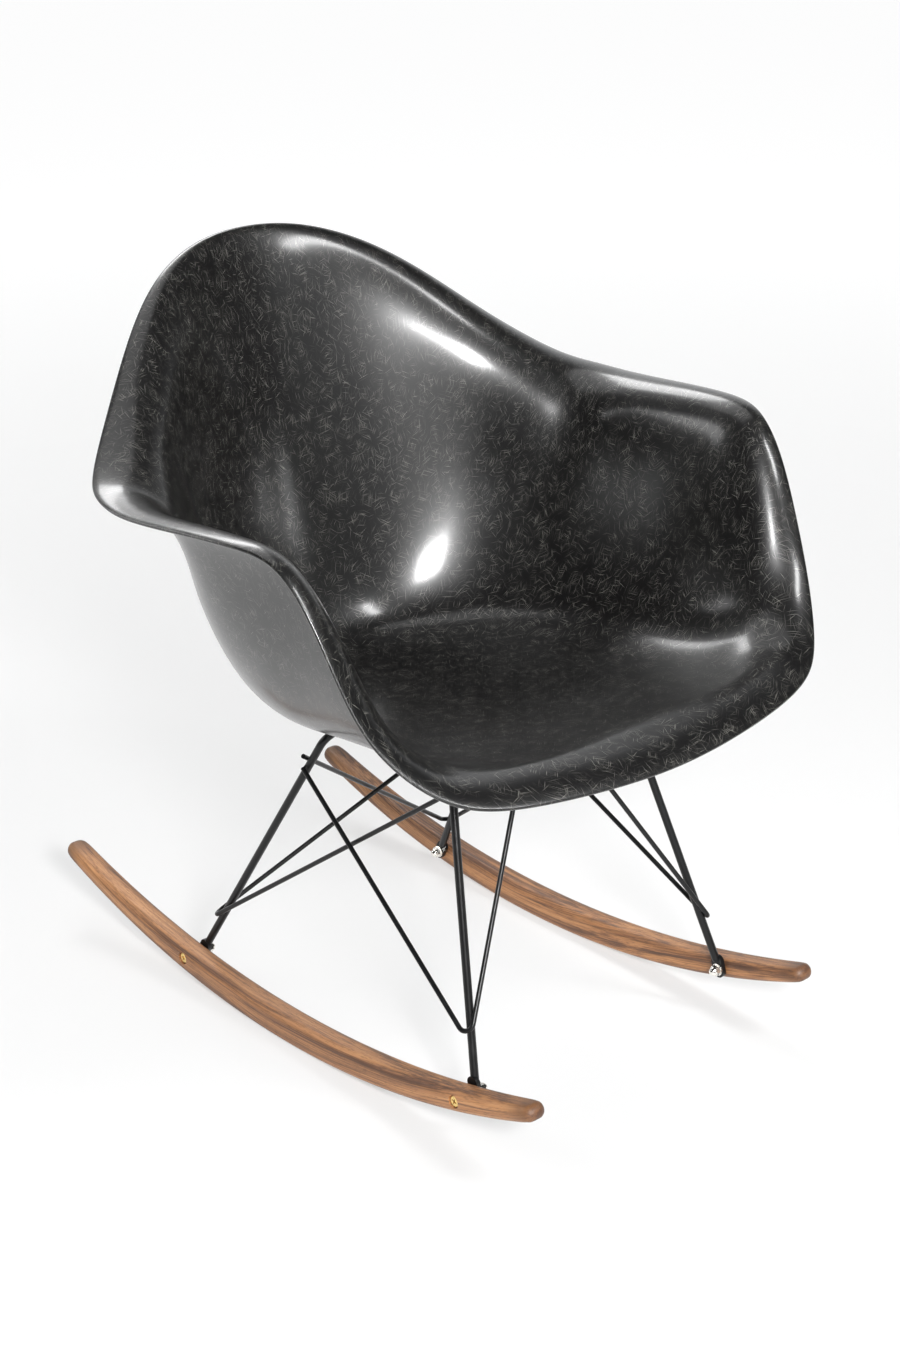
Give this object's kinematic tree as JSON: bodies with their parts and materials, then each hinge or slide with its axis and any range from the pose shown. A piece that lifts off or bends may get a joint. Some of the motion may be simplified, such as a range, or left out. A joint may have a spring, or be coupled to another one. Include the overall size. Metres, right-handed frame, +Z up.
{
  "type": "rocking chair",
  "caption": "Moulded fibreglass armchair shell on a braced steel rod base with curved wooden rockers.",
  "frame": {"origin": "on the floor, under the middle of the rockers and on the centre line of the chair", "axes": "+Z up; the chair faces -Y; the sitter's right is -X"},
  "size_m": [0.6468, 0.748, 0.7559],
  "materials": {
    "shell": "semi-gloss glass-fibre moulding, pale strands",
    "walnut": "oiled walnut",
    "black_paint": "satin black paint",
    "brass": "yellow passivated steel, brass colour",
    "nickel": "bright nickel plate",
    "rubber": "matt black rubber",
    "zinc_steel": "zinc-plated steel"
  },
  "bodies": {
    "base": {"rocker_right": "walnut", "rocker_left": "walnut", "front_leg_frame": "black_paint", "rear_leg_frame": "black_paint", "rocker_bolts": "brass", "rocker_washers": "nickel", "dome_nuts": "nickel", "mount_screws": "zinc_steel", "mount_washers": "zinc_steel", "front_brace_right": "black_paint", "rear_brace_right": "black_paint", "mount_plate_front_right": "black_paint", "threaded_insert_front_right": "zinc_steel", "mount_plate_rear_right": "black_paint", "threaded_insert_rear_right": "zinc_steel", "front_brace_left": "black_paint", "rear_brace_left": "black_paint", "mount_plate_front_left": "black_paint", "threaded_insert_front_left": "zinc_steel", "mount_plate_rear_left": "black_paint", "threaded_insert_rear_left": "zinc_steel"},
    "shell": {"seat_shell": "shell", "rubber_mount_front_left": "rubber", "rubber_mount_front_right": "rubber", "rubber_mount_rear_left": "rubber", "rubber_mount_rear_right": "rubber"}
  },
  "joints": [
    {"name": "shell_flex", "type": "hinge", "parent": "base", "child": "shell", "pos_m": [0, -0.0965, 0.334], "axis": [1, 0, 0], "range_deg": [-1.5, 1.5], "stiffness_Nm_per_rad": 5000, "deforming": ["rubber_mount_front_left", "rubber_mount_front_right", "rubber_mount_rear_left", "rubber_mount_rear_right"]}
  ]
}
